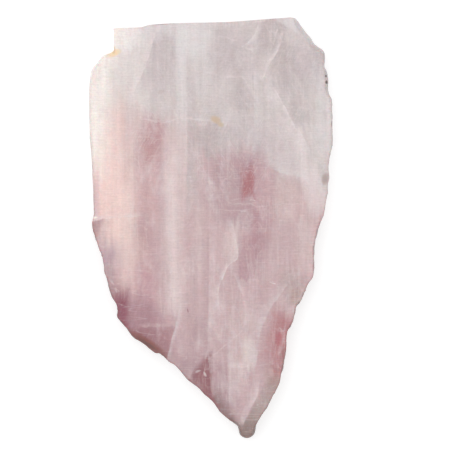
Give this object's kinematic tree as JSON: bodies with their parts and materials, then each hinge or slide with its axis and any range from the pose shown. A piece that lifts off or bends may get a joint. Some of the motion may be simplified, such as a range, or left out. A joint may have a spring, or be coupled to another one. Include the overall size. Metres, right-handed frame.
{
  "type": "rose quartz slab",
  "caption": "Polished slice of milky rose quartz with a sawn top end, a broken rim and a pointed tip, lying flat for display.",
  "frame": {"origin": "under the middle of the slab's box, on the plane that the sawn back rests on", "axes": "+Y from the pointed tip to the sawn top end, +X to the right as the polished face is looked at, +Z out of the polished face"},
  "size_m": [0.0977, 0.1685, 0.007],
  "materials": {
    "rose_quartz": "milky pink quartz with pale veils, polished face, rough broken rim"
  },
  "bodies": {
    "root": {"slab": "rose_quartz"}
  },
  "joints": []
}
